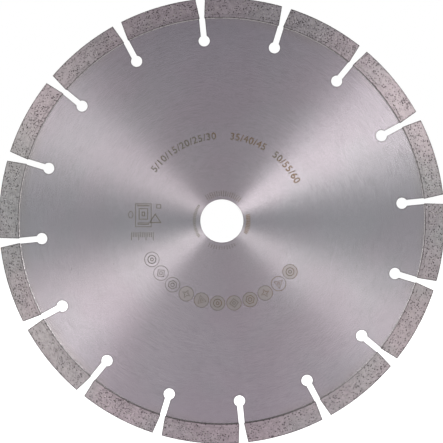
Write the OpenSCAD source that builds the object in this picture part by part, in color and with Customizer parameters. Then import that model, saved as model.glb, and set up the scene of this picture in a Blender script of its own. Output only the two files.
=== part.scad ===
// Segmented diamond blade for cutting concrete and masonry with an angle grinder.
// A slotted steel core carries diamond segments on its rim, each laser welded through a diamond-free foot.
// The blade stands upright: its axis is Y, its front face looks towards -Y and +Z is up.
// The origin is the centre of the bore, halfway through the core. Sizes are in millimetres.

/* [Blade] */
// Outside diameter over the segments
blade_d = 230; // [180:1:300]
// Number of segments, and of the slots between them
segment_count = 16; // [12:1:19]
// Angle of the first slot, anticlockwise from the horizontal as seen from the front
first_slot_angle = 5.6; // [0:0.1:22.5]

/* [Steel core] */
// Thickness of the steel core
core_t = 1.8; // [1.4:0.1:2.2]
// Diameter of the arbor bore
bore_d = 22.23; // [20:0.01:30]
// Deburring chamfer at both ends of the bore
bore_chamfer = 0.2; // [0.1:0.05:0.4]
// Width of each slot
slot_w = 3; // [2:0.1:4]
// Diameter of the relief hole at the inner end of each slot
relief_d = 5.8; // [4.6:0.1:7]
// Distance from the rim of the core in to the centre of each relief hole
relief_inset = 11.6; // [8:0.1:16]

/* [Segments] */
// Radial height of a segment with its foot
segment_h = 10; // [7:0.5:15]
// Thickness of a segment and its foot
segment_t = 2.6; // [2.4:0.1:3.2]
// Radial height of the diamond-free foot
foot_h = 1.6; // [1:0.1:2.5]
// Gap between two segments at the rim of the core
gap_inner = 2.3; // [1.5:0.1:3]
// Gap between two segments at the outside of the blade
gap_outer = 4.9; // [3:0.1:6]

/* [Weld seams] */
// Radial width of the bevel on the rim of the core that the seam fills
weld_w = 0.6; // [0.4:0.05:1]
// Depth of that bevel below the face of the core
weld_depth = 0.4; // [0.2:0.05:0.5]
// How far the top of a seam stays below the face of the segment
weld_undercut = 0.05; // [0.02:0.01:0.08]
// How far a seam stops short of the slot at each end
weld_end_gap = 0.3; // [0.1:0.05:1]

/* [Hidden] */
$fn = 180;
blade_r = blade_d / 2;
core_r = blade_r - segment_h;
bore_r = bore_d / 2;
core_half_t = core_t / 2;
segment_half_t = segment_t / 2;
pitch_angle = 360 / segment_count;
past_rim = 1;       // how far a cutting outline runs on past the edge it cuts

// The seam's surface is a hollow fillet: an arc that leaves the core's face level and climbs the foot's wall
weld_rise = segment_half_t - weld_undercut - core_half_t;
weld_fillet_r = (weld_w ^ 2 + weld_rise ^ 2) / (2 * weld_rise);
weld_fillet_angle = asin(weld_w / weld_fillet_r);
weld_fillet_steps = 5;
weld_end_angle = asin((slot_w / 2 + weld_end_gap) / core_r);

core_color = [0.63, 0.61, 0.64];
segment_color = [0.60, 0.56, 0.57];
foot_color = [0.54, 0.52, 0.53];
weld_color = [0.40, 0.38, 0.39];

function two_digits(n) = n < 10 ? str("0", n) : str(n);
function numbered(name, n) = str(name, "_", two_digits(n));

function slot_angle(n) = first_slot_angle + (n - 1) * pitch_angle;
function segment_angle(n) = slot_angle(n) + pitch_angle / 2;

// Half of the gap between two segments, at a distance along the slot's centre line
function half_gap(along) = (gap_inner + (along - core_r) * (gap_outer - gap_inner) / segment_h) / 2;

// A point on a segment's end face; side is -1 for the end at the lower angle and 1 for the other
function end_point(along, side) =
    let (angle = side * pitch_angle / 2, across = -side * half_gap(along))
    [along * cos(angle) - across * sin(angle), along * sin(angle) + across * cos(angle)];

// Stands a blade drawn flat on the XY plane upright, with its top face as the front
module upright() {
    rotate([90, 0, 0])
        children();
}

module slot_outline() {
    relief_at = core_r - relief_inset;
    translate([relief_at, 0])
        circle(d = relief_d);
    translate([relief_at, -slot_w / 2])
        square([relief_inset + past_rim, slot_w]);
}

// Half of the core's cross-section: chamfered at the bore and bevelled at the rim for the seams
module core_section() {
    bore_wall = core_half_t - bore_chamfer;
    rim_wall = core_half_t - weld_depth;
    polygon([
        [bore_r, -bore_wall],
        [bore_r + bore_chamfer, -core_half_t],
        [core_r - weld_w, -core_half_t],
        [core_r, -rim_wall],
        [core_r, rim_wall],
        [core_r - weld_w, core_half_t],
        [bore_r + bore_chamfer, core_half_t],
        [bore_r, bore_wall],
    ]);
}

module steel_core() {
    color(core_color)
        upright()
            difference() {
                rotate_extrude()
                    core_section();
                for (n = [1:segment_count]) {
                    rotate(slot_angle(n))
                        linear_extrude(core_t + 2 * past_rim, center = true)
                            slot_outline();
                }
            }
}

// The part of segment n between two radii, with end faces that lean away from the slots
module segment_layer(n, inner_r, outer_r) {
    upright()
        rotate(segment_angle(n))
            linear_extrude(segment_t, center = true)
                intersection() {
                    difference() {
                        circle(outer_r);
                        circle(inner_r);
                    }
                    polygon([
                        end_point(core_r - past_rim, -1),
                        end_point(blade_r + past_rim, -1),
                        end_point(blade_r + past_rim, 1),
                        end_point(core_r - past_rim, 1),
                    ]);
                }
}

module segment(n) {
    color(segment_color)
        segment_layer(n, core_r + foot_h, blade_r);
}

module segment_foot(n) {
    color(foot_color)
        segment_layer(n, core_r, core_r + foot_h);
}

// Cross-section of a seam: it lies on the core's bevel and against the foot's wall
module weld_section() {
    polygon(concat(
        [[core_r, core_half_t - weld_depth]],
        [for (i = [weld_fillet_steps:-1:0])
            let (angle = weld_fillet_angle * i / weld_fillet_steps)
            [
                core_r - weld_w + weld_fillet_r * sin(angle),
                core_half_t + weld_fillet_r * (1 - cos(angle)),
            ]]
    ));
}

// The seam is run on both faces, so each weld is two beads
module weld_seam(n) {
    color(weld_color)
        upright()
            rotate(slot_angle(n) + weld_end_angle)
                for (face = [0, 1]) {
                    mirror([0, 0, face])
                        rotate_extrude(angle = pitch_angle - 2 * weld_end_angle)
                            weld_section();
                }
}

steel_core();
for (n = [1:segment_count]) {
    segment(n);
    segment_foot(n);
    weld_seam(n);
}
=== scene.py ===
from math import asin, atan2, cos, hypot, pi, radians, sin

import bmesh
import bpy
import numpy as np
from mathutils import Matrix, Vector, geometry


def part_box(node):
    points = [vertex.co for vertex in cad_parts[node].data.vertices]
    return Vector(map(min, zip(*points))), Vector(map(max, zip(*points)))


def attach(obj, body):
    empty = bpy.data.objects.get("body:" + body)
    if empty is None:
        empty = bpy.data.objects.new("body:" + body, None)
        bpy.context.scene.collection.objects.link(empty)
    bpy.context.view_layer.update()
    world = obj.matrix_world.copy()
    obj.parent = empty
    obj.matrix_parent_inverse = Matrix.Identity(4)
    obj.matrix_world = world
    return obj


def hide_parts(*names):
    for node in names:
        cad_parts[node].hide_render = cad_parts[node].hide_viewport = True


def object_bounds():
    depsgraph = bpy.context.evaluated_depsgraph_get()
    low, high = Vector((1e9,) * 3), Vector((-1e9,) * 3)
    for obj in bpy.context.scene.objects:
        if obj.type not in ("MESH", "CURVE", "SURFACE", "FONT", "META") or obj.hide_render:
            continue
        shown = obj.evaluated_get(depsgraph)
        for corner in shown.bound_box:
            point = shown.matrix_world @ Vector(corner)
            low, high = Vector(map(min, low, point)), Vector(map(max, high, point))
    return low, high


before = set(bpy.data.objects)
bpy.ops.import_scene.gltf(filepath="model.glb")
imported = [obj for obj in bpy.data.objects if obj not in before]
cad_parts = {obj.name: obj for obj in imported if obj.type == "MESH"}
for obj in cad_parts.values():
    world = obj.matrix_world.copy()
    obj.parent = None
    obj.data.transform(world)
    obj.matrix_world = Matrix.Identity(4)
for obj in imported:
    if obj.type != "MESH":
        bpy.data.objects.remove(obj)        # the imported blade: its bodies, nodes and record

scene = bpy.context.scene
cadBox = [list(corner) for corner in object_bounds()]
print("blade: frame loaded,", len(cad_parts), "nodes")


# One output socket of a node tree. Arithmetic on it adds Math nodes to that tree,
# and a name in square brackets gives another output of the same node.
class Wire:
    def __init__(self, bench, socket):
        self.bench = bench
        self.socket = socket

    def __getitem__(self, name):
        return Wire(self.bench, self.socket.node.outputs[name])

    def maths(self, operation, *others):
        values = dict(enumerate((self, *others)))
        return self.bench.node("ShaderNodeMath", {"operation": operation}, values)

    def __neg__(self):
        return self.maths("MULTIPLY", -1.0)

    def __add__(self, value):
        return self.maths("ADD", value)

    def __sub__(self, value):
        return self.maths("SUBTRACT", value)

    def __rsub__(self, value):
        return -self + value

    def __mul__(self, value):
        return self.maths("MULTIPLY", value)

    def __truediv__(self, value):
        return self.maths("DIVIDE", value)

    def __pow__(self, value):
        return self.maths("POWER", value)

    __radd__ = __add__
    __rmul__ = __mul__


# A node tree being filled: every node but the arithmetic comes from node()
class Bench:
    def __init__(self, tree):
        self.tree = tree

    def node(self, kind, settings=None, sockets=None, out=0):
        made = self.tree.nodes.new(kind)
        for name, value in (settings or {}).items():
            setattr(made, name, value)
        for key, value in (sockets or {}).items():
            if isinstance(value, Wire):
                self.tree.links.new(value.socket, made.inputs[key])
            elif isinstance(value, list):
                for one in value:
                    self.tree.links.new(one.socket, made.inputs[key])
            else:
                made.inputs[key].default_value = value
        return Wire(self, made.outputs[out]) if made.outputs else None

    # Shader and field helpers, all made of node()
    def vector(self, operation, *values):
        return self.node("ShaderNodeVectorMath", {"operation": operation}, dict(enumerate(values)))

    def scaled(self, vector, amount):
        return self.node("ShaderNodeVectorMath", {"operation": "SCALE"},
                         {0: vector, "Scale": amount})

    def split(self, vector):
        return self.node("ShaderNodeSeparateXYZ", {}, {0: vector})

    def combine(self, x, y, z):
        return self.node("ShaderNodeCombineXYZ", {}, {0: x, 1: y, 2: z})

    def blend(self, share, a, b, kind="MIX"):
        return self.node("ShaderNodeMix", {"data_type": "RGBA", "blend_type": kind},
                         {0: share, 6: a, 7: b}, 2)

    def multiply(self, share, a, b):
        return self.blend(share, a, b, "MULTIPLY")

    def noise(self, where, scale, detail=2.0, rough=0.5):
        return self.node("ShaderNodeTexNoise", {}, {"Vector": where, "Scale": scale,
                                                    "Detail": detail, "Roughness": rough})

    def ramp(self, value, low, high):
        return self.node("ShaderNodeMapRange", {"interpolation_type": "SMOOTHSTEP"},
                         {0: value, 1: low, 2: high})

    def bumped(self, strength, distance, height):
        return self.node("ShaderNodeBump", {}, {"Strength": strength, "Distance": distance,
                                                "Height": height})

    def attribute(self, name):
        return self.node("ShaderNodeAttribute", {"attribute_name": name}, out="Fac")

    def principled(self, sockets):
        return self.node("ShaderNodeBsdfPrincipled", {}, sockets)

    def join(self, *shapes):
        return self.node("GeometryNodeJoinGeometry", {}, {0: list(shapes)})

    def realize(self, shape):
        return self.node("GeometryNodeRealizeInstances", {}, {0: shape})

    def shift(self, shape, offset):
        return self.node("GeometryNodeSetPosition", {}, {0: shape, "Offset": offset})

    def copies(self, points, shape, sockets=None):
        return self.node("GeometryNodeInstanceOnPoints", {}, {
            "Points": points, "Instance": shape, **(sockets or {})})

    def markFaces(self, shape, name):
        return self.node("GeometryNodeStoreNamedAttribute", {
            "data_type": "BOOLEAN", "domain": "FACE"}, {0: shape, "Name": name, "Value": True})

    def bar(self, curve, width, height):
        section = self.node("GeometryNodeCurvePrimitiveQuadrilateral", {}, {
            "Width": width, "Height": height})
        return self.node("GeometryNodeCurveToMesh", {}, {
            "Curve": curve, "Profile Curve": section})


# What the frame says about a node: how far it reaches from the axis, and which way it lies
def nodePoints(name):
    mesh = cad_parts[name].data
    flat = np.zeros(len(mesh.vertices) * 3, np.float32)
    mesh.vertices.foreach_get("co", flat)
    return flat.reshape(-1, 3).astype(float)


def reachOf(name):
    points = nodePoints(name)
    radii = np.hypot(points[:, 0], points[:, 2])
    return float(radii.min()), float(radii.max())


def middleOf(name):
    middle = nodePoints(name).mean(axis=0)
    return atan2(middle[2], middle[0])


def numbered(name, number):
    return f"{name}_{number:02d}"


segmentCount = len([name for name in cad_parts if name.startswith("weld_seam_")])
segmentNumbers = range(1, segmentCount + 1)
halfPitch = pi / segmentCount
firstSlot = middleOf("segment_01") - halfPitch
boreRadius, coreRadius = reachOf("steel_core")
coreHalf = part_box("steel_core")[1].y
bladeRadius = reachOf("segment_01")[1]
footTop = round(reachOf("segment_foot_01")[1], 4)
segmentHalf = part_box("segment_01")[1].y
print("blade: rim", round(coreRadius, 5), "outside", round(bladeRadius, 5), "foot to", footTop)


# Camera, light and floor
view = {
    "lens": 200.0,
    "sensor": 36.0,
    "frameWidth": 0.2286,       # what the camera takes in at the blade
    "aimX": -0.00018,
    "aimZ": -0.00031,
}
cameraData = bpy.data.cameras.new("camera")
cameraData.lens = view["lens"]
cameraData.sensor_width = view["sensor"]
cameraData.clip_start = 0.05
cameraData.clip_end = 50
camera = bpy.data.objects.new("camera", cameraData)
cameraDistance = view["frameWidth"] * view["lens"] / view["sensor"]
camera.location = (view["aimX"], -cameraDistance - coreHalf, view["aimZ"])
camera.rotation_euler = (pi / 2, 0, 0)
scene.collection.objects.link(camera)
scene.camera = camera
scene.view_settings.view_transform = "Standard"

# Soft boxes: clock is the angle round the blade's axis, lean the angle away from it
softBoxes = {
    "key_right": {"clock": 31.8, "lean": 41, "front": True, "width": 1.1, "watts": 22.4},
    "key_left": {"clock": 149.5, "lean": 41, "front": True, "width": 1.0, "watts": 12.6},
    "back_right": {"clock": 40, "lean": 46, "front": False, "width": 1.3, "watts": 30},
    "back_left": {"clock": 145, "lean": 46, "front": False, "width": 1.3, "watts": 20},
}
studio = {
    "ambient": 0.36,            # light from all round, as the blade sees it
    "backdrop": 1.0,            # the same all round as the camera sees it
    "floorGlow": 0.75,
    "floorSize": 30.0,
    "lampsAway": 3.0,           # from the blade to each soft box
}


def addSoftBox(name, size):
    data = bpy.data.lights.new(name, "AREA")
    data.shape = "DISK"
    data.size = size["width"]
    data.energy = size["watts"]
    lamp = bpy.data.objects.new(name, data)
    clock, lean = radians(size["clock"]), radians(size["lean"])
    depth = -cos(lean) if size["front"] else cos(lean)
    away = Vector((sin(lean) * cos(clock), depth, sin(lean) * sin(clock)))
    lamp.location = away * studio["lampsAway"]
    lamp.rotation_euler = away.to_track_quat("Z", "Y").to_euler()
    lamp.visible_camera = False
    scene.collection.objects.link(lamp)


for name, size in softBoxes.items():
    addSoftBox(name, size)

world = bpy.data.worlds.new("studio")
world.use_nodes = True
world.node_tree.nodes.clear()
bench = Bench(world.node_tree)
seen = bench.node("ShaderNodeLightPath", out="Is Camera Ray")
level = seen * (studio["backdrop"] - studio["ambient"]) + studio["ambient"]
air = bench.node("ShaderNodeBackground", {}, {"Color": (1, 1, 1, 1), "Strength": level})
bench.node("ShaderNodeOutputWorld", {}, {"Surface": air})
scene.world = world
print("blade: studio set")


# Materials
def startMaterial(name):
    material = bpy.data.materials.new(name)
    material.use_nodes = True
    material.node_tree.nodes.clear()
    return material, Bench(material.node_tree)


def endMaterial(bench, shader):
    bench.node("ShaderNodeOutputMaterial", {}, {"Surface": shader})


# Painted light and shade over the blade's colour, and faint patches of two hues
paintedLightAndPatches = {
    "across": (0.885, 0.875, 0.865, 1),
    "above": (0.735, 0.715, 0.77, 1),    # painted shade straight up, at the reach
    "centre": (1.01, 0.975, 1.00, 1),
    "below": (1.24, 1.19, 1.26, 1),      # painted light straight down, at the reach
    "reach": 0.1,
    "sides": (0.82, 0.855, 0.865, 1),    # painted shade straight out to the left and right
    "worn": (0.855, 0.845, 0.845, 1),    # painted shade: multiplies the tone in one direction
    "wornClock": 212,
    "rosy": (1.03, 0.985, 1.005, 1),     # faint patches of two hues
    "cool": (0.975, 1.01, 0.995, 1),
    "patchScale": 24.0,
}


# Place on the blade: direction from the axis as a cosine and a sine, distance from it, and depth
def aroundAxis(bench):
    place = bench.node("ShaderNodeTexCoord", out="Object")
    across = bench.split(place)
    up = across["Z"]
    radius = (across * across + up * up).maths("SQRT")
    return place, across / radius, up / radius, radius, across["Y"]


depthScale = 900.0      # how fast these patterns change through the blade's thickness


# Noise drawn out along circles about the axis, as grinding leaves it
def ringNoise(bench, spot, turns, rings, detail=2.0, rough=0.5):
    cosine, sine, radius, depth = spot[1:]
    where = bench.combine(cosine * turns, radius * rings + depth * depthScale, sine * turns)
    return bench.noise(where, 1.0, detail, rough)


# How far a place lies in one direction from the axis: 1 straight along it, 0 square to it
def towards(spot, degrees):
    clock = radians(degrees)
    return spot[1] * cos(clock) + spot[2] * sin(clock)


# Painted light and shade: the blade's tone changes a little from top to bottom and out to the
# sides, darker above and at the sides and lighter below, with more shade in one direction; faint
# patches of two hues are laid over it
def paintLightAndPatches(bench, spot, colour, patchy=1.0):
    cosine, sine = spot[1], spot[2]
    height = sine * spot[3] / paintedLightAndPatches["reach"]
    upright = bench.blend(height, paintedLightAndPatches["centre"], paintedLightAndPatches["above"])
    upright = bench.blend(-height, upright, paintedLightAndPatches["below"])
    tint = bench.blend(sine * sine, paintedLightAndPatches["across"], upright)
    tint = bench.blend((cosine * cosine) ** 9, tint, paintedLightAndPatches["sides"])
    # painted shade in one direction
    worn = towards(spot, paintedLightAndPatches["wornClock"])
    tint = bench.multiply(worn.maths("MAXIMUM", 0.0) ** 12, tint, paintedLightAndPatches["worn"])
    patches = bench.ramp(bench.noise(spot[0], paintedLightAndPatches["patchScale"], 2.0), 0.4, 0.6)
    tint = bench.multiply(patchy, tint, bench.blend(patches, paintedLightAndPatches["rosy"], paintedLightAndPatches["cool"]))
    return bench.multiply(1.0, colour, tint)


# The surface's normal, leaned towards or away from the axis by the grinding lines
def leanedNormal(bench, spot, lean):
    cosine, sine = spot[1], spot[2]
    facing = bench.node("ShaderNodeNewGeometry", out="Normal")
    leaned = bench.vector("ADD", facing, bench.combine(cosine * lean, 0.0, sine * lean))
    return bench.vector("NORMALIZE", leaned)


# Metal with fine lines round the axis: equal shares of one finish, each leaned by its own step.
# The upright share goes in last, so it is the one that an export keeps where it can't mix.
def linedMetal(bench, spot, look, lean, sockets, bump=None):
    shader = None
    for count, step in enumerate((2, -2, 1, -1, 0), 1):
        ownLean = lean + step * look["leanStep"] if step else lean * look["uprightLean"]
        normal = leanedNormal(bench, spot, ownLean)
        if bump:
            normal = bench.node("ShaderNodeBump", {}, {**bump, "Normal": normal})
        share = bench.principled({**sockets, "Normal": normal})
        if shader:
            share = bench.node("ShaderNodeMixShader", {}, {0: 1 / count, 1: shader, 2: share})
        shader = share
    return shader


steelLook = {
    "pale": (0.540, 0.500, 0.535, 1),
    "dull": (0.510, 0.476, 0.506, 1),
    "scratched": (0.40, 0.37, 0.39, 1),
    "cut": (0.20, 0.185, 0.195, 1),      # painted shade along cut edges
    "heat": (0.50, 0.45, 0.44, 1),       # next to the welds
    "heatReach": 0.006,
    "roughness": 0.26,
    "lineScale": 60000.0,                # grinding lines to a metre towards the axis
    "scratchScale": 1500.0,              # and the coarser scratches
    "streakScale": 2100.0,
    "cloudScale": 26.0,
    "leanStep": 0.26,                    # from one share of the grinding lines to the next
    "uprightLean": 1.7,                  # how much further the lines of the upright share lean
    "lineLean": 1.1,                     # how far the finest lines lean within a share
    "scratchLean": 0.20,
    "scratchRoughness": 0.06,
    "scratchTone": 0.80,                 # how much the coarser scratches darken the metal
    "patchy": 0.45,                      # how much of the hue patches the steel shows
}


def groundSteel():
    material, bench = startMaterial("ground_steel")
    look = steelLook
    spot = aroundAxis(bench)
    lines = ringNoise(bench, spot, 9.0, look["lineScale"], 0.0)
    scratches = ringNoise(bench, spot, 12.0, look["scratchScale"], 3.0, 0.6)
    clouds = bench.noise(spot[0], look["cloudScale"], 3.0, 0.55)
    lean = (lines - 0.5) * look["lineLean"] + (scratches - 0.5) * look["scratchLean"]
    colour = bench.blend(bench.ramp(clouds, 0.35, 0.65), look["dull"], look["pale"])
    heated = bench.ramp(spot[3], coreRadius - look["heatReach"], coreRadius)
    nearWeld = heated * bench.ramp(clouds, 0.4, 0.6)
    colour = bench.blend(nearWeld * 0.6, colour, look["heat"])
    streaks = ringNoise(bench, spot, 22.0, look["streakScale"], 2.0, 0.7)
    colour = bench.blend(bench.ramp(streaks, 0.52, 0.74) * look["scratchTone"], colour,
                         look["scratched"])
    # painted shade along the cut edges of the slots and relief holes, fainter at the bore
    edge = bench.attribute("edge")
    colour = bench.blend(edge * 0.75, colour, look["cut"])
    rough = (scratches - 0.5) * look["scratchRoughness"] + look["roughness"]
    # the colour gets painted light and shade over the blade, and hue patches
    endMaterial(bench, linedMetal(bench, spot, look, lean, {
        "Base Color": paintLightAndPatches(bench, spot, colour, look["patchy"]), "Metallic": 1.0,
        "Roughness": rough}))
    return material


segmentLook = {
    "pale": (0.575, 0.520, 0.528, 1),
    "dull": (0.465, 0.420, 0.427, 1),
    "dark": (0.055, 0.046, 0.046, 1),
    "fleck": (0.86, 0.83, 0.81, 1),
    "poresAlong": 720.0,                 # to a metre round the rim
    "poresAcross": 1150.0,               # and to a metre towards the axis
    "poreReach": 0.26,                   # how much of each cell a pore takes up
    "roughness": 0.31,
    "edgeTone": 0.95,                    # how dark the painted shade in the pits and along the edges is
    "lineScale": 45000.0,
    "grainScale": 3400.0,
    "grainDepth": 0.00006,
    "mottleScale": 420.0,
    "fleckScale": 2300.0,
    "crowdScale": 260.0,                 # of the places where pores crowd together
    "leanStep": 0.20,
    "uprightLean": 1.7,
    "lineLean": 0.9,
    "grainLean": 0.4,
}


# The bonded metal of the segments, and with grit off the plainer metal of their feet
def sinteredMetal(name, grit):
    material, bench = startMaterial(name)
    look = segmentLook
    spot = aroundAxis(bench)
    place, cosine, sine, radius, depth = spot
    lines = ringNoise(bench, spot, 14.0, look["lineScale"], 0.0)
    grain = bench.noise(place, look["grainScale"], 3.0, 0.6)
    mottle = bench.noise(place, look["mottleScale"], 3.0, 0.6)
    flecks = bench.noise(place, look["fleckScale"], 1.0)
    lean = (lines - 0.5) * look["lineLean"] + (grain - 0.5) * look["grainLean"]
    colour = bench.blend(bench.ramp(mottle, 0.32, 0.68), look["dull"], look["pale"])
    colour = bench.blend(bench.ramp(grain, 0.60, 0.70) * 0.4, colour, look["dark"])
    long, short = look["poresAlong"] * bladeRadius, look["poresAcross"]
    pores = bench.node("ShaderNodeTexVoronoi", {}, {
        "Vector": bench.combine(cosine * long, radius * short + depth * depthScale, sine * long),
        "Scale": 1.0}, "Distance")
    crowded = bench.ramp(bench.noise(place, look["crowdScale"]), 0.30, 0.52)
    pores = bench.ramp(pores, look["poreReach"] * 1.3, look["poreReach"]) * crowded
    colour = bench.blend(pores * 0.9, colour, look["dark"])
    if grit:
        colour = bench.blend(bench.ramp(flecks, 0.66, 0.72) * 0.8, colour, look["fleck"])
    # painted shade in the pits and along the free edges
    pit = bench.attribute("pit")
    edge = bench.attribute("edge")
    colour = bench.blend(pit.maths("MAXIMUM", edge) * look["edgeTone"], colour,
                         look["dark"])
    rough = (mottle - 0.5) * 0.2 + pit * 0.3 + look["roughness"]
    # the colour gets painted light and shade over the blade, and hue patches
    endMaterial(bench, linedMetal(
        bench, spot, look, lean,
        {"Base Color": paintLightAndPatches(bench, spot, colour), "Metallic": 0.9, "Roughness": rough},
        {"Strength": 0.6, "Distance": look["grainDepth"], "Height": grain}))
    return material


weldLook = {
    "clean": (0.58, 0.545, 0.55, 1),
    "burnt": (0.13, 0.115, 0.115, 1),
    "roughness": 0.17,
    "sootScale": 600.0,
    "rippleScale": 900.0,
    "rippleDepth": 0.00005,
    "darkEdge": 0.00020,                 # width of the painted shade line against the foot
    "burntClock": 262,                   # the welds get the most painted shade in this direction
    "edgedClock": 18,                    # and the darkest painted shade line against the foot in this one
}


def weldMetal():
    material, bench = startMaterial("weld_metal")
    look = weldLook
    spot = aroundAxis(bench)
    soot = bench.noise(spot[0], look["sootScale"], 3.0, 0.6)
    ripple = ringNoise(bench, spot, 160.0, look["rippleScale"])
    # Painted shade: a thin line against the foot, darkest in one direction, and more shade towards
    # the bottom and the top; the soot patches darken the weld at random
    footShade = bench.ramp(spot[3], coreRadius - look["darkEdge"], coreRadius)
    below, aside = (towards(spot, weldLook[clock]) for clock in ("burntClock", "edgedClock"))
    edgeShadeByDirection = bench.ramp(aside, 0.7, 0.95) * 0.55 + 0.45
    share = footShade * edgeShadeByDirection + bench.ramp(soot, 0.5, 0.64) * 0.3 + bench.ramp(below, 0.6, 1.0) * 0.6
    share = share + bench.ramp(spot[2], 0.4, 0.9) * 0.15
    colour = bench.blend(share, look["clean"], look["burnt"])
    endMaterial(bench, bench.principled({
        "Base Color": colour, "Metallic": 1.0, "Roughness": soot * 0.2 + look["roughness"],
        "Normal": bench.bumped(0.5, look["rippleDepth"], ripple)}))
    return material


gritLook = {
    "dark": (0.34, 0.31, 0.24, 1),
    "pale": (0.62, 0.60, 0.54, 1),
    "ior": 2.2,
    "toneScale": 900.0,
    "chipScale": 9000.0,
    "chipDepth": 0.00001,
}


def diamondGrit():
    material, bench = startMaterial("diamond_grit")
    place = bench.node("ShaderNodeTexCoord", out="Object")
    tone = bench.noise(place, gritLook["toneScale"], 1.0)
    chips = bench.noise(place, gritLook["chipScale"])
    colour = bench.blend(bench.ramp(tone, 0.35, 0.65), gritLook["dark"], gritLook["pale"])
    endMaterial(bench, bench.principled({
        "Base Color": colour, "Roughness": tone * 0.3 + 0.05, "IOR": gritLook["ior"],
        "Normal": bench.bumped(0.3, gritLook["chipDepth"], chips)}))
    return material


markLook = {
    "brown": (0.270, 0.185, 0.120, 1),
    "grey": (0.225, 0.206, 0.172, 1),
    "wash": (0.505, 0.455, 0.462, 1),    # the paler film inside filled signs
    "toneScale": 130.0,
    "wornScale": 1800.0,
    "browner": 0.18,                     # how much browner the marks get towards the right
}


def etchedOxide(name, filmed):
    material, bench = startMaterial(name)
    spot = aroundAxis(bench)
    tone = bench.noise(spot[0], markLook["toneScale"])
    worn = bench.noise(spot[0], markLook["wornScale"], 3.0, 0.6)
    share = bench.ramp(tone + spot[1] * markLook["browner"], 0.4, 0.75)
    colour = bench.blend(share, markLook["grey"], markLook["brown"])
    colour = bench.blend(0.9 if filmed else 0.0, colour, markLook["wash"])
    colour = bench.blend(bench.ramp(worn, 0.5, 0.72) * 0.4, colour, steelLook["dull"])
    lines = ringNoise(bench, spot, 9.0, steelLook["lineScale"], 0.0)
    endMaterial(bench, linedMetal(
        bench, spot, steelLook, (lines - 0.5) * steelLook["lineLean"],
        {"Base Color": colour, "Metallic": 0.95,
         "Roughness": worn * 0.15 + steelLook["roughness"]}))
    return material


floorLook = {"paint": (0.93, 0.93, 0.93, 1), "roughness": 0.75}


def paleFloor():
    material, bench = startMaterial("pale_floor")
    place = bench.node("ShaderNodeTexCoord", out="Object")
    soft = bench.noise(place, 3.0)
    seen = bench.node("ShaderNodeLightPath", out="Is Camera Ray")
    shader = bench.principled({
        "Base Color": floorLook["paint"], "Roughness": soft * 0.1 + floorLook["roughness"]})
    glow = bench.node("ShaderNodeEmission", {}, {"Strength": seen * studio["floorGlow"]})
    endMaterial(bench, bench.node("ShaderNodeAddShader", {}, {0: shader, 1: glow}))
    return material


steel = groundSteel()
bonded = sinteredMetal("sintered_segment", True)
footMetal = sinteredMetal("sintered_foot", False)
seam = weldMetal()
grit = diamondGrit()
oxide = etchedOxide("etched_oxide", False)
film = etchedOxide("oxide_film", True)
print("blade: materials made")

floorMesh = bpy.data.meshes.new("floor")
half = studio["floorSize"] / 2
floorMesh.from_pydata([(-half, -half, 0), (half, -half, 0), (half, half, 0), (-half, half, 0)],
                      [], [(0, 1, 2, 3)])
floorMesh.transform(Matrix.Translation((0, 0, cadBox[0][2])))
floor = bpy.data.objects.new("floor", floorMesh)
floorMesh.materials.append(paleFloor())
scene.collection.objects.link(floor)


# Geometry Nodes
def startTree(name, inputs):
    tree = bpy.data.node_groups.new(name, "GeometryNodeTree")
    tree.interface.new_socket("Geometry", in_out="INPUT", socket_type="NodeSocketGeometry")
    for kind, labels in inputs.items():
        for label in labels:
            tree.interface.new_socket(label, in_out="INPUT", socket_type="NodeSocket" + kind)
    tree.interface.new_socket("Geometry", in_out="OUTPUT", socket_type="NodeSocketGeometry")
    bench = Bench(tree)
    return tree, bench, bench.node("NodeGroupInput")


def endTree(bench, wire):
    bench.node("NodeGroupOutput", {}, {0: wire})


def endInMetal(bench, given, wire):
    endTree(bench, bench.node("GeometryNodeSetMaterial", {}, {
        0: bench.realize(wire), "Material": given["Metal"]}))


# Ends a tree with its metal everywhere and a second material on the marked faces
def endInTwoMetals(bench, given, wire, mark, second):
    plain = bench.node("GeometryNodeSetMaterial", {}, {
        0: bench.realize(wire), "Material": given["Metal"]})
    marked = bench.node("GeometryNodeInputNamedAttribute", {"data_type": "BOOLEAN"}, {"Name": mark})
    endTree(bench, bench.node("GeometryNodeSetMaterial", {}, {
        0: plain, "Selection": marked, "Material": given[second]}))


# Runs a tree on a piece and leaves the piece with the plain mesh that comes out
def runTree(piece, tree, values):
    modifier = piece.modifiers.new(tree.name, "NODES")
    modifier.node_group = tree
    for item in tree.interface.items_tree:
        if item.in_out == "INPUT" and item.name in values:
            modifier[item.identifier] = values[item.name]
    depsgraph = bpy.context.evaluated_depsgraph_get()
    made = bpy.data.meshes.new_from_object(piece.evaluated_get(depsgraph),
                                           preserve_all_data_layers=True, depsgraph=depsgraph)
    made.name = piece.name
    piece.modifiers.remove(modifier)
    piece.data = made


def addPiece(name, mesh):
    piece = bpy.data.objects.new(name, mesh)
    scene.collection.objects.link(piece)
    return piece


def pointOutwards(mesh):
    work = bmesh.new()
    work.from_mesh(mesh)
    bmesh.ops.recalc_face_normals(work, faces=work.faces)
    work.to_mesh(mesh)
    work.free()


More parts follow.
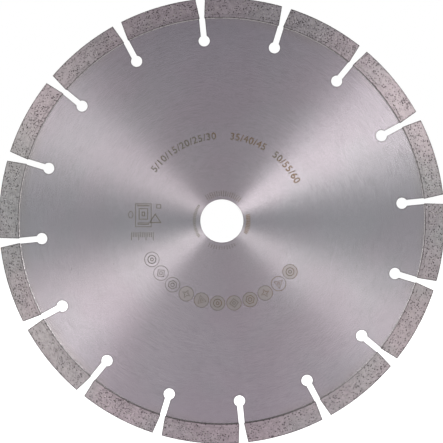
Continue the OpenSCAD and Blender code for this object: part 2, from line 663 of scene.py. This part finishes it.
# Steel core: one slot with half a pitch of the disc on each side of it, repeated round the axis
coreSizes = {
    "slotWidth": 0.003,
    "reliefDiameter": 0.0058,
    "reliefInset": 0.0116,      # from the rim in to the centre of a relief hole
    "edgeRounding": 0.0001,
    "boreChamfer": 0.0002,
    "bevelWidth": 0.0006,       # the rim's bevel, which the weld fills
    "bevelDepth": 0.0004,
    "shadeBand": 0.0005,        # width of the painted shade along cut edges
    "clearRim": 0.0015,         # that border stays off the rim this far in
    "nearSlot": 0.0026,         # but for this far on each side of the slot's middle
    "innerRings": (0.013, 0.018, 0.026, 0.037, 0.050, 0.063, 0.075, 0.0855),
    "sideRadii": (0.090, 0.0945, 0.099),
    "stepsAcross": 16,
    "rimSteps": 15,
    "slotSteps": 7,
    "reliefSteps": 19,
    "roundingSteps": 5,
}


def polar(radius, angle):
    return radius * cos(angle), radius * sin(angle)


# The cut outline of one slot, from the middle of one segment to the middle of the next
def slotChain(widening, rimRadius):
    halfSlot = coreSizes["slotWidth"] / 2 + widening
    relief = coreSizes["reliefDiameter"] / 2 + widening
    reliefAt = coreRadius - coreSizes["reliefInset"]
    corner = asin(halfSlot / rimRadius)
    join = asin(halfSlot / relief)
    upper = [polar(rimRadius, angle)
             for angle in np.linspace(halfPitch, corner, coreSizes["rimSteps"])]
    ends = (rimRadius * cos(corner), reliefAt + relief * cos(join))
    upper += [(across, halfSlot) for across in np.linspace(*ends, coreSizes["slotSteps"])[1:]]
    for angle in np.linspace(join, pi, coreSizes["reliefSteps"])[1:-1]:
        across, up = polar(relief, angle)
        upper.append((reliefAt + across, up))
    lower = [(across, -up) for across, up in reversed(upper)]
    return upper + [(reliefAt - relief, 0.0)] + lower


# Rows of points from the front face over a cut edge to the back face: depth, widening, shade
def edgeRows(rounding, strength):
    rows = []
    for share in (1.0, 0.45):
        widening = rounding + coreSizes["shadeBand"] * share
        rows.append((0.0, widening, (1 - share) * strength))
    for turn in np.linspace(0, pi / 2, coreSizes["roundingSteps"]):
        rows.append((rounding * (1 - cos(turn)), rounding * (1 - sin(turn)), strength))
    return rows


def bridge(work, first, second):
    for a, b, c, d in zip(first, first[1:], second[1:], second):
        work.faces.new((a, b, c, d))


def coreSector():
    work = bmesh.new()
    shade = work.verts.layers.float.new("edge")

    def addRow(points, depth, value):
        made = []
        for across, up in points:
            vertex = work.verts.new((across, depth, up))
            onRim = hypot(across, up) > coreRadius - coreSizes["clearRim"]
            vertex[shade] = 0.0 if onRim and abs(up) > coreSizes["nearSlot"] else value
            made.append(vertex)
        return made

    def addShell(rowsOf, outline):
        front, back = [], []
        for depth, widening, value in rowsOf:
            front.append(addRow(outline(widening, depth), depth - coreHalf, value))
            back.append(addRow(outline(widening, depth), coreHalf - depth, value))
        rows = front + back[::-1]
        for first, second in zip(rows, rows[1:]):
            bridge(work, first, second)
        for row in (front[2], back[2]):         # the rounding starts sharp against the face
            for a, b in zip(row, row[1:]):
                work.edges.get((a, b)).smooth = False
        return front[0], back[0]

    bevel, deep = coreSizes["bevelWidth"], coreSizes["bevelDepth"]

    def cutOutline(widening, depth):
        rim = coreRadius - bevel * (1 - min(depth / deep, 1))
        if depth == 0:
            rim -= max(widening - coreSizes["edgeRounding"], 0)
        return slotChain(widening, rim)

    turns = np.linspace(halfPitch, -halfPitch, coreSizes["stepsAcross"] + 1)

    def boreOutline(widening, depth):
        return [polar(boreRadius + widening, angle) for angle in turns]

    cutRows = edgeRows(coreSizes["edgeRounding"], 1.0) + [(deep, 0.0, 1.0)]
    cutEnds = addShell(cutRows, cutOutline)
    boreEnds = addShell(edgeRows(coreSizes["boreChamfer"], 0.2), boreOutline)
    for end, cut, depth in zip(boreEnds, cutEnds, (-coreHalf, coreHalf)):
        for radius in coreSizes["innerRings"]:
            ring = addRow([polar(radius, angle) for angle in turns], depth, 0.0)
            bridge(work, end, ring)
            end = ring
        sides = []
        for turn in (halfPitch, -halfPitch):
            points = [polar(radius, turn) for radius in coreSizes["sideRadii"]]
            sides.append(addRow(points, depth, 0.0))
        border = end[::-1] + sides[0] + cut + sides[1][::-1]
        for trio in geometry.tessellate_polygon([[vertex.co.xz.to_3d() for vertex in border]]):
            work.faces.new([border[index] for index in trio])
    faces = [face for face in work.faces if len(face.verts) == 3]
    edges = [edge for edge in work.edges if len(edge.link_faces) == 2
             and all(len(face.verts) == 3 for face in edge.link_faces)]
    bmesh.ops.beautify_fill(work, faces=faces, edges=edges)
    for face in work.faces:
        face.smooth = True
    mesh = bpy.data.meshes.new("core_sector")
    work.to_mesh(mesh)
    work.free()
    return mesh


def sectorTree():
    tree, bench, given = startTree("sectors_round_axis", {
        "Int": ("Sectors",),
        "Float": ("First angle", "Weld gap"),
        "Material": ("Metal",),
    })
    index = bench.node("GeometryNodeInputIndex")
    angle = index * (2 * pi) / given["Sectors"] + given["First angle"]
    points = bench.node("GeometryNodePoints", {}, {"Count": given["Sectors"]})
    turned = bench.combine(0.0, -angle, 0.0)
    solid = bench.realize(bench.copies(points, given, {"Rotation": turned}))
    joined = bench.node("GeometryNodeMergeByDistance", {}, {
        0: solid, "Distance": given["Weld gap"]})
    endInMetal(bench, given, joined)
    return tree


core = addPiece("steel_core_ground", coreSector())
runTree(core, sectorTree(), {"Sectors": segmentCount, "First angle": firstSlot,
                             "Weld gap": 0.000005, "Metal": steel})
pointOutwards(core.data)
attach(core, "root")
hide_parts("steel_core")
print("blade: core,", len(core.data.polygons), "faces")


# Segments and feet: a finely divided block between two radii, with leaning ends and rounded edges
blockSizes = {
    "gapInner": 0.0023,         # between two segments at the rim of the core
    "gapOuter": 0.0049,         # between two segments at the outside
    "edgeRounding": 0.00014,
    "cell": 0.00027,
    "depthCell": 0.0004,
    "edgeBand": 0.00055,
}


# Half the angle that a segment spans, at a distance from the axis
def halfSpan(radius):
    share = (radius - coreRadius) / (bladeRadius - coreRadius)
    gap = blockSizes["gapInner"] + share * (blockSizes["gapOuter"] - blockSizes["gapInner"])
    return halfPitch - np.arcsin(gap / 2 / radius)


# Grid lines from low to high, closer together at each end that is rounded
def gridLines(low, high, cell, roundLow, roundHigh):
    rounding = blockSizes["edgeRounding"]
    first = low + rounding if roundLow else low
    last = high - rounding if roundHigh else high
    lines = list(np.linspace(first, last, max(2, round((last - first) / cell) + 1)))
    near = [0.0, 0.35 * rounding]
    if roundLow:
        lines = [low + step for step in near] + lines
    if roundHigh:
        lines += [high - step for step in near[::-1]]
    return np.array(lines)


def blockMesh(name, inner, outer, middle, freeInner, freeOuter):
    rounding = blockSizes["edgeRounding"]
    radii = gridLines(inner, outer, blockSizes["cell"], freeInner, freeOuter)
    depths = gridLines(-segmentHalf, segmentHalf, blockSizes["depthCell"], True, True)
    length = float(halfSpan(np.array(outer)) * outer)
    alongs = gridLines(-length, length, blockSizes["cell"], True, True)
    along, radius, depth = np.meshgrid(alongs, radii, depths, indexing="ij")
    end = halfSpan(radius) * radius
    beyond = np.sign(along) * np.maximum(np.abs(along) - (length - rounding), 0)
    flat = (along - beyond) / (length - rounding) * (end - rounding)
    lean = np.zeros_like(radius)
    if freeOuter:
        lean += np.maximum(radius - (outer - rounding), 0)
    if freeInner:
        lean += np.minimum(radius - (inner + rounding), 0)
    over = np.sign(depth) * np.maximum(np.abs(depth) - (segmentHalf - rounding), 0)
    reach = np.sqrt(beyond ** 2 + lean ** 2 + over ** 2)
    pull = np.where(reach > rounding, rounding / np.maximum(reach, 1e-9), 1.0)
    newRadius = radius - lean + lean * pull
    newDepth = depth - over + over * pull
    angle = middle + (flat + beyond * pull) / newRadius
    points = np.stack([newRadius * np.cos(angle), newDepth, newRadius * np.sin(angle)], axis=-1)

    far = 1.0               # an edge that is joined to another piece isn't shaded
    gaps = np.stack([
        end - np.abs(flat + beyond),
        np.minimum(outer - radius if freeOuter else far,
                   (radius - inner) * 2 if freeInner else far),
        segmentHalf - np.abs(depth)])
    gaps.sort(axis=0)
    # painted shade along the free edges, fading in over the band
    edge = np.clip(1 - gaps[1] / blockSizes["edgeBand"], 0, 1)

    outside = np.zeros(along.shape, bool)
    for axis in range(3):
        outside.swapaxes(0, axis)[[0, -1]] = True
    index = np.full(along.shape, -1)
    index[outside] = np.arange(outside.sum())
    faces = []
    for axis in range(3):
        for place in (0, -1):
            sheet = np.moveaxis(index, axis, 0)[place]
            quads = np.stack([sheet[:-1, :-1], sheet[1:, :-1], sheet[1:, 1:], sheet[:-1, 1:]], -1)
            if (place == 0) == (axis == 1):
                quads = quads[..., ::-1]
            faces += quads.reshape(-1, 4).tolist()
    mesh = bpy.data.meshes.new(name)
    mesh.from_pydata(points[outside].tolist(), [], faces)
    mesh.attributes.new("edge", "FLOAT", "POINT").data.foreach_set("value", edge[outside])
    mesh.polygons.foreach_set("use_smooth", np.ones(len(faces), bool))
    pointOutwards(mesh)
    return mesh


# Pits sunk into a block, and diamond crystals standing in its surface
def pittedTree():
    tree, bench, given = startTree("pits_and_crystals", {
        "Float": ("Pit density", "Pit radius", "Pit depth", "Roughness", "Crystal density",
                  "Crystal size", "Clear below"),
        "Int": ("Seed",),
        "Material": ("Metal", "Grit"),
    })
    seed = given["Seed"]
    place = bench.node("GeometryNodeInputPosition")
    shifted = bench.vector("ADD", place, bench.combine(seed * 0.37, 0.0, 0.0))
    cluster = bench.ramp(bench.noise(shifted, 300.0, 3.0), 0.42, 0.70)
    pits = bench.node("GeometryNodeDistributePointsOnFaces", {}, {
        "Mesh": given, "Density": given["Pit density"] * cluster, "Seed": seed})
    near = bench.node("GeometryNodeProximity", {"target_element": "POINTS"},
                      {"Geometry": pits}, "Distance")
    uneven = bench.noise(shifted, 1500.0, 2.0) * 1.7 + 0.25
    share = near / (given["Pit radius"] * uneven)
    bowl = bench.ramp(share, 1.0, 0.25)
    grain = (bench.noise(shifted, 1300.0, 2.0) - 0.5) * given["Roughness"]
    normal = bench.node("GeometryNodeInputNormal")
    sink = grain - bowl * given["Pit depth"]
    # the stored shade is taken before the points move, so it sits where the pit is
    marked = bench.node("GeometryNodeStoreNamedAttribute", {
        "data_type": "FLOAT", "domain": "POINT"}, {0: given, "Name": "pit", "Value": bowl})
    sunk = bench.shift(marked, bench.scaled(normal, sink))

    parts = bench.split(place)
    up = parts["Z"]
    radius = (parts * parts + up * up) ** 0.5
    free = bench.ramp(radius, given["Clear below"], given["Clear below"] + 0.0002)
    spread = bench.ramp(bench.noise(shifted, 240.0, 1.0), 0.3, 0.6)
    spots = bench.node("GeometryNodeDistributePointsOnFaces", {}, {
        "Mesh": sunk, "Density": given["Crystal density"] * free * spread,
        "Seed": seed + 50})
    spots = bench.shift(spots, bench.scaled(spots["Normal"], given["Crystal size"] * -0.32))
    cube = bench.node("GeometryNodeMeshCube", {}, {"Size": (1.0, 1.0, 1.0)})
    corners = bench.node("GeometryNodeMeshToPoints", {"mode": "EDGES"}, {0: cube})
    hull = bench.node("GeometryNodeConvexHull", {}, {0: corners})
    flat = bench.node("GeometryNodeSetShadeSmooth", {}, {0: hull, "Shade Smooth": False})
    crystal = bench.markFaces(flat, "crystal")
    turned = bench.node("FunctionNodeRandomValue", {"data_type": "FLOAT_VECTOR"},
                        {0: (0.0, 0.0, 0.0), 1: (6.28, 6.28, 6.28), "Seed": seed + 7})
    sized = bench.node("FunctionNodeRandomValue", {"data_type": "FLOAT_VECTOR"},
                       {0: (0.6, 0.6, 0.6), 1: (1.25, 1.25, 1.25), "Seed": seed + 9})
    crystals = bench.copies(spots, crystal, {
        "Rotation": turned, "Scale": bench.scaled(sized, given["Crystal size"])})
    endInTwoMetals(bench, given, bench.join(sunk, crystals), "crystal", "Grit")
    return tree


segmentGrit = {
    "Pit density": 800000.0, "Pit radius": 0.00026, "Pit depth": 0.00026,
    "Roughness": 0.00005, "Crystal density": 500000.0, "Crystal size": 0.00034,
}
footGrit = {
    "Pit density": 800000.0, "Pit radius": 0.00026, "Pit depth": 0.00018,
    "Roughness": 0.00003, "Crystal density": 0.0, "Crystal size": 0.0003,
}
pitted = pittedTree()
for number in segmentNumbers:
    node = numbered("segment", number)
    middle = middleOf(node)
    piece = addPiece(node + "_bonded", blockMesh(node, footTop, bladeRadius, middle, False, True))
    runTree(piece, pitted, {**segmentGrit, "Clear below": footTop + 0.0001, "Seed": number,
                            "Metal": bonded, "Grit": grit})
    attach(piece, "root")
    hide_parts(node)
    node = numbered("segment_foot", number)
    piece = addPiece(node + "_bonded", blockMesh(node, coreRadius, footTop, middle, True, False))
    runTree(piece, pitted, {**footGrit, "Clear below": footTop, "Seed": number + 100,
                            "Metal": footMetal, "Grit": grit})
    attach(piece, "root")
    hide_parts(node)
print("blade: segments and feet,", len(piece.data.polygons), "faces in the last foot")


# Weld seams: the hollow bead swept along the rim on both faces, with fine ripples
seamSizes = {
    "width": 0.0006,
    "depth": 0.0004,
    "rise": 0.00035,            # how far the bead climbs the wall of the foot
    "endGap": 0.0003,
    "ripplePitch": 0.00055,
    "rippleHeight": 0.000018,
    "stepsPerRipple": 4,
    "sectionSteps": 8,
}


# The bead's section, drawn flat: distance from the axis less the core's radius, then height
def seamSection():
    width, rise = seamSizes["width"], seamSizes["rise"]
    bend = (width ** 2 + rise ** 2) / (2 * rise)
    sweep = asin(width / bend)
    points = [(0.0, coreHalf - seamSizes["depth"])]
    for angle in np.linspace(sweep, 0, seamSizes["sectionSteps"]):
        points.append((bend * sin(angle) - width, coreHalf + bend * (1 - cos(angle))))
    mesh = bpy.data.meshes.new("seam_section")
    count = len(points)
    mesh.from_pydata([(across, up, 0.0) for across, up in points],
                     [(step, (step + 1) % count) for step in range(count)], [])
    return mesh


def seamTree():
    tree, bench, given = startTree("seam_along_rim", {
        "Float": ("Rim radius", "Start angle", "Sweep", "Ripples", "Ripple height"),
        "Int": ("Steps",),
        "Material": ("Metal",),
    })
    path = bench.node("GeometryNodeCurveArc", {}, {
        "Resolution": given["Steps"], "Radius": given["Rim radius"],
        "Start Angle": given["Start angle"], "Sweep Angle": given["Sweep"]})
    section = bench.node("GeometryNodeMeshToCurve", {}, {0: given})
    swept = bench.node("GeometryNodeCurveToMesh", {}, {
        "Curve": path, "Profile Curve": section, "Fill Caps": True})
    place = bench.node("GeometryNodeInputPosition")
    parts = bench.split(place)
    angle = parts["Y"].maths("ARCTAN2", parts)
    wander = bench.noise(place, 500.0)
    wave = (angle * given["Ripples"] + wander * 5).maths("SINE")
    normal = bench.node("GeometryNodeInputNormal")
    rippled = bench.shift(swept, bench.scaled(normal, wave * given["Ripple height"]))
    back = bench.node("GeometryNodeTransform", {}, {0: rippled, "Scale": (1.0, 1.0, -1.0)})
    turned = bench.node("GeometryNodeFlipFaces", {}, {0: back})
    upright = bench.node("GeometryNodeTransform", {}, {
        0: bench.join(rippled, turned), "Rotation": (pi / 2, 0.0, 0.0)})
    endInMetal(bench, given, upright)
    return tree


seamShape = seamTree()
endAngle = asin((coreSizes["slotWidth"] / 2 + seamSizes["endGap"]) / coreRadius)
seamSweep = 2 * (halfPitch - endAngle)
rippleTurns = 2 * pi * coreRadius / seamSizes["ripplePitch"]
seamSteps = round(seamSweep / (2 * pi) * rippleTurns * seamSizes["stepsPerRipple"])
for number in segmentNumbers:
    node = numbered("weld_seam", number)
    piece = addPiece(node + "_rippled", seamSection())
    start = middleOf(numbered("segment", number)) - seamSweep / 2
    runTree(piece, seamShape, {"Rim radius": coreRadius, "Start angle": start,
                               "Sweep": seamSweep, "Steps": seamSteps, "Ripples": rippleTurns,
                               "Ripple height": seamSizes["rippleHeight"], "Metal": seam})
    pointOutwards(piece.data)
    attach(piece, "root")
    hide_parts(node)
print("blade: weld seams,", len(piece.data.polygons), "faces each")


# Etched marks on the front face: a numbered scale, ringed signs, index ticks and a plain panel
def upright(bench, drawn, height):
    return bench.node("GeometryNodeTransform", {}, {
        0: drawn, "Translation": (0.0, -height, 0.0), "Rotation": (pi / 2, 0.0, 0.0)})


def finishMark(piece):
    pointOutwards(piece.data)
    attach(piece, "root")


# A point of an arc about the axis, drawn flat
def onArc(bench, angle, reach, across=0.0):
    return bench.combine(angle.maths("COSINE") * reach + across, angle.maths("SINE") * reach, 0.0)


# The angle of each point, spread evenly from the first angle to the last
def spreadAngle(given, index):
    span = given["Last angle"] - given["First angle"]
    return given["First angle"] + span * index / (given["Count"] - 1)


def pointsAt(bench, given, around):
    return bench.node("GeometryNodePoints", {}, {"Count": given["Count"], "Position": around})


etchDepth = 0.00002             # the oxide stands this far off the face
scaleNumbers = {
    "numerals_left": {"text": "5/10/15/20/25/30", "from": 144.0},
    "numerals_top": {"text": "35/40/45", "from": 84.5},
    "numerals_right": {"text": "50/55/60", "from": 52.5},
}
scaleSizes = {"Size": 0.0050, "Spacing": 1.07, "Radius": 0.0423, "Bold": 0.00020}


def numeralTree():
    tree, bench, given = startTree("numerals_along_arc", {
        "String": ("Text",),
        "Float": ("Size", "Spacing", "Radius", "Bold", "First angle", "Thickness"),
        "Material": ("Metal",),
    })
    drawn = bench.node("GeometryNodeStringToCurves", {"pivot_mode": "BOTTOM_CENTER"}, {
        "String": given["Text"], "Size": given["Size"],
        "Character Spacing": given["Spacing"]})
    place = bench.node("GeometryNodeInputPosition")
    parts = bench.split(place)
    radius = given["Radius"]
    angle = given["First angle"] - parts / radius
    turned = bench.node("GeometryNodeRotateInstances", {}, {
        0: drawn, "Rotation": bench.combine(0.0, 0.0, angle - pi / 2)})
    placed = bench.node("GeometryNodeSetPosition", {}, {
        0: turned, "Position": onArc(bench, angle, radius + parts["Y"])})
    solid = bench.realize(placed)
    filled = bench.node("GeometryNodeFillCurve", {}, {0: solid})
    raised = bench.node("GeometryNodeExtrudeMesh", {}, {
        "Mesh": filled, "Offset Scale": given["Thickness"], "Individual": False})
    under = bench.node("GeometryNodeFlipFaces", {}, {0: filled})
    closed = bench.node("GeometryNodeMergeByDistance", {}, {
        0: bench.join(raised, under), "Distance": 0.000001})
    # a thin border round each figure makes it bolder
    border = bench.bar(solid, given["Bold"], given["Thickness"] * 1.2)
    both = bench.join(closed, border)
    endInMetal(bench, given, upright(bench, both, coreHalf - etchDepth * 0.3))
    return tree


numerals = numeralTree()
for name, group in scaleNumbers.items():
    piece = addPiece(name, bpy.data.meshes.new(name))
    runTree(piece, numerals, {**scaleSizes, "Text": group["text"],
                              "First angle": radians(group["from"]),
                              "Thickness": etchDepth * 1.3, "Metal": oxide})
    finishMark(piece)

signSizes = {
    "Count": 11, "Arc radius": 0.0426, "First angle": radians(207.8),
    "Last angle": radians(322.0), "Across": 0.0016, "Ring radius": 0.00375,
    "Line": 0.00042, "Ring line": 0.00026, "Filled from": 3, "Bare sign": 9,
}


def signTree():
    tree, bench, given = startTree("ringed_signs_along_arc", {
        "Int": ("Count", "Filled from", "Bare sign"),
        "Float": ("Arc radius", "First angle", "Last angle", "Across", "Ring radius", "Line",
                  "Ring line", "Thickness"),
        "Material": ("Metal", "Film"),
    })
    index = bench.node("GeometryNodeInputIndex")
    angle = spreadAngle(given, index)
    points = pointsAt(bench, given, onArc(bench, angle, given["Arc radius"], given["Across"]))
    size = given["Ring radius"]

    def lined(curve, width="Line"):
        return bench.bar(curve, given[width], given["Thickness"])

    def sided(sides, share, width="Line"):
        return lined(bench.node("GeometryNodeCurvePrimitiveCircle", {}, {
            "Resolution": sides, "Radius": size * share}), width)

    ring = bench.copies(points, sided(40, 1.0, "Ring line"))
    star = lined(bench.node("GeometryNodeCurveStar", {}, {
        "Points": 4, "Inner Radius": size * 0.22, "Outer Radius": size * 0.6}))
    pair = bench.join(sided(4, 0.6), sided(4, 0.25))
    nest = bench.join(sided(3, 0.66), sided(3, 0.25))
    nut = bench.join(sided(6, 0.6), sided(16, 0.25))
    target = bench.join(sided(20, 0.55), sided(20, 0.2))
    signs = [nest, star, nut, pair, target]
    shelf = bench.node("GeometryNodeGeometryToInstance", {}, {0: signs})
    inner = bench.copies(points, shelf, {
        "Pick Instance": True, "Instance Index": index,
        "Rotation": bench.combine(0.0, 0.0, angle + pi / 2)})
    # the later signs stand on a film of oxide, all but one
    plate = bench.node("GeometryNodeMeshCylinder", {}, {
        "Vertices": 32, "Radius": size, "Depth": given["Thickness"] * 0.6})
    late = bench.node("FunctionNodeCompare", {"data_type": "INT", "operation": "GREATER_EQUAL"},
                      {2: index, 3: given["Filled from"]})
    others = bench.node("FunctionNodeCompare", {"data_type": "INT", "operation": "NOT_EQUAL"},
                        {2: index, 3: given["Bare sign"]})
    discs = bench.copies(points, bench.markFaces(plate, "film"), {"Selection": late * others})
    together = bench.join(ring, inner, discs)
    endInTwoMetals(bench, given, upright(bench, together, coreHalf), "film", "Film")
    return tree


signs = addPiece("ringed_signs", bpy.data.meshes.new("ringed_signs"))
runTree(signs, signTree(), {**signSizes, "Thickness": etchDepth * 2, "Metal": oxide,
                            "Film": film})
finishMark(signs)

# Groups of index ticks: angles in degrees, then from and to radius, count and line width
tickGroups = {
    "ticks_over_bore": (123.0, 50.0, 0.0125, 0.0158, 17, 0.00030),
    "ticks_left_of_bore": (146.0, 214.0, 0.0133, 0.0151, 20, 0.00046),
    "ticks_right_of_bore": (13.0, -27.0, 0.0124, 0.0150, 12, 0.00048),
    "ticks_under_bore": (242.0, 298.0, 0.0128, 0.0150, 11, 0.00024),
}


def tickTree():
    tree, bench, given = startTree("ticks_along_arc", {
        "Int": ("Count", "Seed"),
        "Float": ("First angle", "Last angle", "Inner radius", "Outer radius", "Line",
                  "Thickness"),
        "Material": ("Metal",),
    })
    index = bench.node("GeometryNodeInputIndex")
    angle = spreadAngle(given, index)
    inner, outer = given["Inner radius"], given["Outer radius"]
    points = pointsAt(bench, given, onArc(bench, angle, (inner + outer) * 0.5))
    bar = bench.node("GeometryNodeMeshCube", {}, {
        "Size": bench.combine(outer - inner, given["Line"], given["Thickness"])})
    length = bench.node("FunctionNodeRandomValue", {"data_type": "FLOAT"},
                        {2: 0.7, 3: 1.0, "Seed": given["Seed"]}, 1)
    bars = bench.copies(points, bar, {
        "Rotation": bench.combine(0.0, 0.0, angle),
        "Scale": bench.combine(length, 1.0, 1.0)})
    endInMetal(bench, given, upright(bench, bars, coreHalf))
    return tree


ticks = tickTree()
for number, (name, group) in enumerate(tickGroups.items()):
    first, last, inner, outer, count, line = group
    piece = addPiece(name, bpy.data.meshes.new(name))
    runTree(piece, ticks, {"Count": count, "First angle": radians(first),
                           "Last angle": radians(last), "Inner radius": inner,
                           "Outer radius": outer, "Line": line,
                           "Thickness": etchDepth * 2, "Seed": number, "Metal": oxide})
    finishMark(piece)

# The panel's outlines: centre across and up, half width, half height, sides and line, in mm
panelShapes = [
    (-40.5, 2.9, 4.2, 6.1, 4, 0.36),
    (-40.5, 3.6, 2.4, 2.9, 4, 0.42),
    (-40.5, 3.6, 0.9, 1.2, 4, 0.5),
    (-40.5, 7.9, 3.2, 0.35, 4, 0.3),
    (-40.5, -1.4, 3.0, 0.55, 4, 0.4),
    (-32.6, 7.5, 1.2, 1.1, 4, 0.4),
    (-34.4, 0.6, 1.9, 1.7, 3, 0.5),
    (-47.0, 3.2, 1.3, 1.9, 24, 0.36),
]
rulerSizes = {
    "from": -46.6, "to": -35.4, "count": 13, "top": -5.8,
    "long": 4.2, "short": 2.6, "line": 0.38,
}


# A flat many-sided frame, given its corners' half sizes
def addFrame(work, across, up, halfWidth, halfHeight, sides, line):
    grow = 1 / cos(pi / sides)
    turn = pi / 2 if sides == 3 else pi / sides
    loops = []
    for inset in (0.0, line):
        for depth in (coreHalf - etchDepth, coreHalf + etchDepth):
            loop = []
            for step in range(sides):
                angle = turn + 2 * pi * step / sides
                wide, high = max(halfWidth - inset, 0.02), max(halfHeight - inset, 0.02)
                loop.append(work.verts.new((
                    (across + wide * grow * cos(angle)) / 1000, -depth,
                    (up + high * grow * sin(angle)) / 1000)))
            loops.append(loop)
    for first, second in ((0, 1), (1, 3), (3, 2), (2, 0)):
        a, b = loops[first], loops[second]
        for step in range(sides):
            after = (step + 1) % sides
            work.faces.new((a[step], a[after], b[after], b[step]))


work = bmesh.new()
for shape in panelShapes:
    addFrame(work, *shape)
line = rulerSizes["line"]
spread = np.linspace(rulerSizes["from"], rulerSizes["to"], rulerSizes["count"])
for step, across in enumerate(spread):
    height = rulerSizes["short"] if step % 4 else rulerSizes["long"]
    addFrame(work, across, rulerSizes["top"] - height / 2, line / 2, height / 2, 4, line / 2.2)
panelMesh = bpy.data.meshes.new("panel_marks")
work.to_mesh(panelMesh)
work.free()
panelMesh.materials.append(oxide)
panel = addPiece("panel_marks", panelMesh)
finishMark(panel)
print("blade: marks etched")
